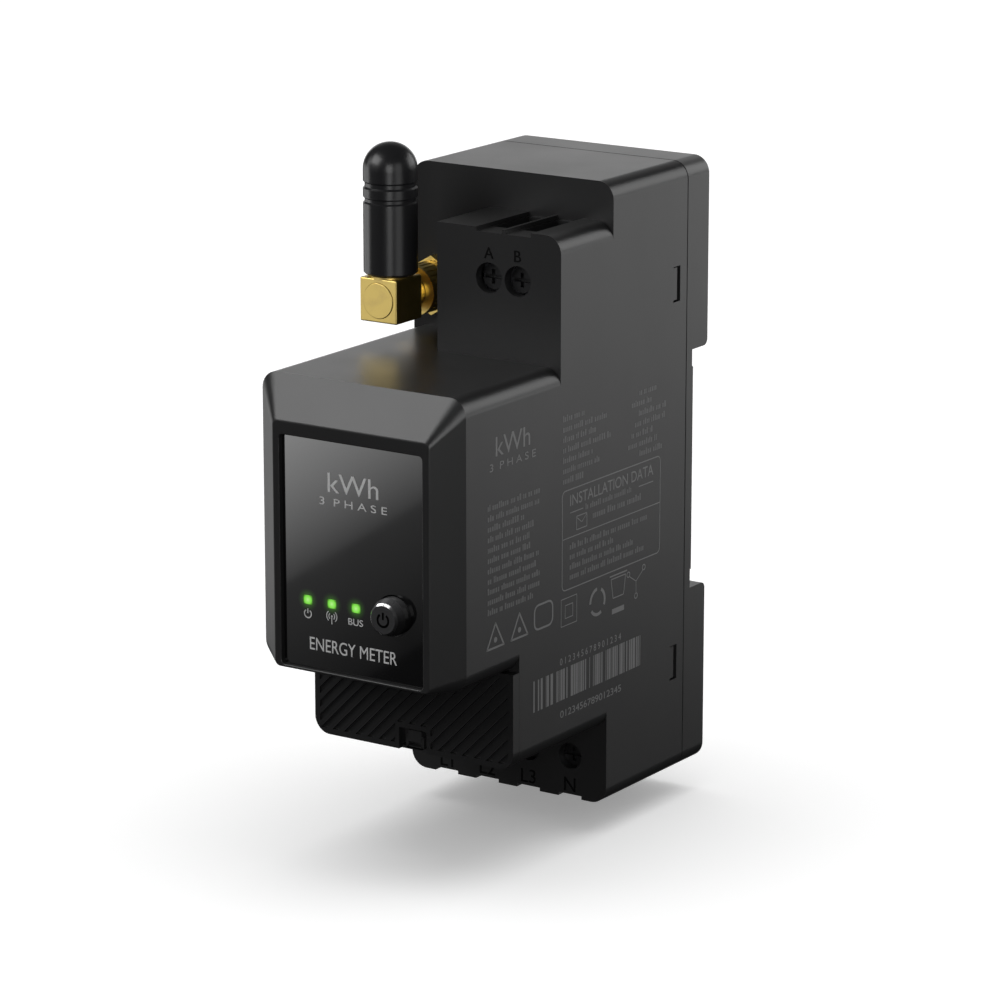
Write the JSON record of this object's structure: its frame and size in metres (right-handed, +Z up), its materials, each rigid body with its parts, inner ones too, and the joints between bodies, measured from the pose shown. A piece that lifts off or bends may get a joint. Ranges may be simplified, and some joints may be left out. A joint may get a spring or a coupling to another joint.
{
  "type": "smart electric meter",
  "caption": "Two-module rail-mounted smart electric meter with a bevelled display, status lights, power button, swivelling stub antenna and front-screw terminals.",
  "frame": {"origin": "middle of the rail seat: centre of the width, on the floor of the rail channel, at the rail's centre line", "axes": "+Z up, -Y towards the display, +Y towards the rail, +X to the right seen from the front"},
  "size_m": [0.036, 0.0715, 0.1011],
  "materials": {
    "case_plastic": "satin moulded, fine spark texture",
    "ribbed_plastic": "satin moulded",
    "bezel_plastic": "fine satin",
    "window_gloss": "high gloss",
    "inner_plastic": "moulded",
    "light_guide": "lit green",
    "led_chip": "glossy",
    "switch_plastic": "moulded",
    "button_plastic": "satin",
    "tinned_copper": "tin plated",
    "gold_brass": "gold plated",
    "sleeve_rubber": "satin",
    "circuit_board": "solder mask",
    "header_plastic": "moulded",
    "shield_steel": "tin plated",
    "ferrite": "sintered",
    "can_sleeve": "shrink sleeve",
    "spring_steel": "drawn wire",
    "latch_plastic": "moulded",
    "screw_steel": "zinc plated, dulled",
    "cage_steel": "zinc plated"
  },
  "bodies": {
    "case": {"main_housing": "case_plastic", "rear_cover": "case_plastic", "front_bezel": "bezel_plastic", "display_window": "window_gloss", "lens_carrier": "inner_plastic", "status_lenses": "light_guide", "status_leds": "led_chip", "tact_switch": "switch_plastic", "signal_bars": "tinned_copper", "signal_carrier": "inner_plastic", "line_bars": "tinned_copper", "line_carrier": "inner_plastic", "antenna_jack": "gold_brass", "jack_washer": "gold_brass", "jack_nut": "gold_brass", "rear_board": "circuit_board", "front_board": "circuit_board", "bridge_board": "circuit_board", "board_headers": "header_plastic", "ct_header": "header_plastic", "radio_module": "shield_steel", "supply_transformer": "ferrite", "capacitors": "can_sleeve", "latch_spring": "spring_steel"},
    "ribbed_cover": {"ribbed_cover": "ribbed_plastic"},
    "power_button": {"power_button": "button_plastic", "switch_plunger": "switch_plastic"},
    "antenna": {"antenna_elbow": "gold_brass", "elbow_cap": "gold_brass", "antenna_sleeve": "sleeve_rubber", "antenna_whip": "tinned_copper"},
    "coupling_nut": {"coupling_nut": "gold_brass"},
    "rail_latch": {"rail_latch": "latch_plastic"},
    "screw_a": {"screw_a": "screw_steel"},
    "screw_b": {"screw_b": "screw_steel"},
    "screw_l1": {"screw_l1": "screw_steel"},
    "screw_l2": {"screw_l2": "screw_steel"},
    "screw_l3": {"screw_l3": "screw_steel"},
    "screw_n": {"screw_n": "screw_steel"},
    "cage_a": {"cage_a": "cage_steel"},
    "cage_b": {"cage_b": "cage_steel"},
    "cage_l1": {"cage_l1": "cage_steel"},
    "cage_l2": {"cage_l2": "cage_steel"},
    "cage_l3": {"cage_l3": "cage_steel"},
    "cage_n": {"cage_n": "cage_steel"}
  },
  "joints": [
    {"name": "antenna_swivel", "type": "hinge", "parent": "case", "child": "antenna", "pos_m": [-0.0134, -0.0358, 0.0296], "axis": [0, 1, 0], "range_deg": [-90, 15]},
    {"name": "coupling_nut_spin", "type": "hinge", "parent": "case", "child": "coupling_nut", "pos_m": [-0.0134, -0.0278, 0.0296], "axis": [0, 1, 0], "continuous": true},
    {"name": "button_press", "type": "slide", "parent": "case", "child": "power_button", "axis": [0, 1, 0], "range_m": [0, 0.0005], "stiffness_N_per_m": 2000, "springref_m": -0.0002},
    {"name": "latch_slide", "type": "slide", "parent": "case", "child": "rail_latch", "axis": [0, 0, -1], "range_m": [0, 0.0035], "stiffness_N_per_m": 600, "springref_m": -0.003, "deforming": ["latch_spring"]},
    {"name": "cover_pull", "type": "slide", "parent": "case", "child": "ribbed_cover", "axis": [0, -1, 0], "range_m": [0, 0.024]},
    {"name": "screw_a_turn", "type": "hinge", "parent": "case", "child": "screw_a", "pos_m": [0.00532, -0.033, 0.03495], "axis": [0, 1, 0], "range_deg": [0, 1800]},
    {"name": "cage_a_lift", "type": "slide", "parent": "case", "child": "cage_a", "axis": [0, -1, 0], "range_m": [0, 0.0025]},
    {"name": "screw_b_turn", "type": "hinge", "parent": "case", "child": "screw_b", "pos_m": [0.0104, -0.033, 0.03495], "axis": [0, 1, 0], "range_deg": [0, 1800]},
    {"name": "cage_b_lift", "type": "slide", "parent": "case", "child": "cage_b", "axis": [0, -1, 0], "range_m": [0, 0.0025]},
    {"name": "screw_l1_turn", "type": "hinge", "parent": "case", "child": "screw_l1", "pos_m": [-0.01143, -0.0199, -0.0412], "axis": [0, 1, 0], "range_deg": [0, 1800]},
    {"name": "cage_l1_lift", "type": "slide", "parent": "case", "child": "cage_l1", "axis": [0, -1, 0], "range_m": [0, 0.0025]},
    {"name": "screw_l2_turn", "type": "hinge", "parent": "case", "child": "screw_l2", "pos_m": [-0.00381, -0.0199, -0.0412], "axis": [0, 1, 0], "range_deg": [0, 1800]},
    {"name": "cage_l2_lift", "type": "slide", "parent": "case", "child": "cage_l2", "axis": [0, -1, 0], "range_m": [0, 0.0025]},
    {"name": "screw_l3_turn", "type": "hinge", "parent": "case", "child": "screw_l3", "pos_m": [0.00381, -0.0199, -0.0412], "axis": [0, 1, 0], "range_deg": [0, 1800]},
    {"name": "cage_l3_lift", "type": "slide", "parent": "case", "child": "cage_l3", "axis": [0, -1, 0], "range_m": [0, 0.0025]},
    {"name": "screw_n_turn", "type": "hinge", "parent": "case", "child": "screw_n", "pos_m": [0.01143, -0.0199, -0.0412], "axis": [0, 1, 0], "range_deg": [0, 1800]},
    {"name": "cage_n_lift", "type": "slide", "parent": "case", "child": "cage_n", "axis": [0, -1, 0], "range_m": [0, 0.0025]}
  ],
  "couplings": [
    {"joint": "screw_a_turn", "follows": "cage_a_lift", "rad_per_m": 12566},
    {"joint": "screw_b_turn", "follows": "cage_b_lift", "rad_per_m": 12566},
    {"joint": "screw_l1_turn", "follows": "cage_l1_lift", "rad_per_m": 12566},
    {"joint": "screw_l2_turn", "follows": "cage_l2_lift", "rad_per_m": 12566},
    {"joint": "screw_l3_turn", "follows": "cage_l3_lift", "rad_per_m": 12566},
    {"joint": "screw_n_turn", "follows": "cage_n_lift", "rad_per_m": 12566}
  ]
}
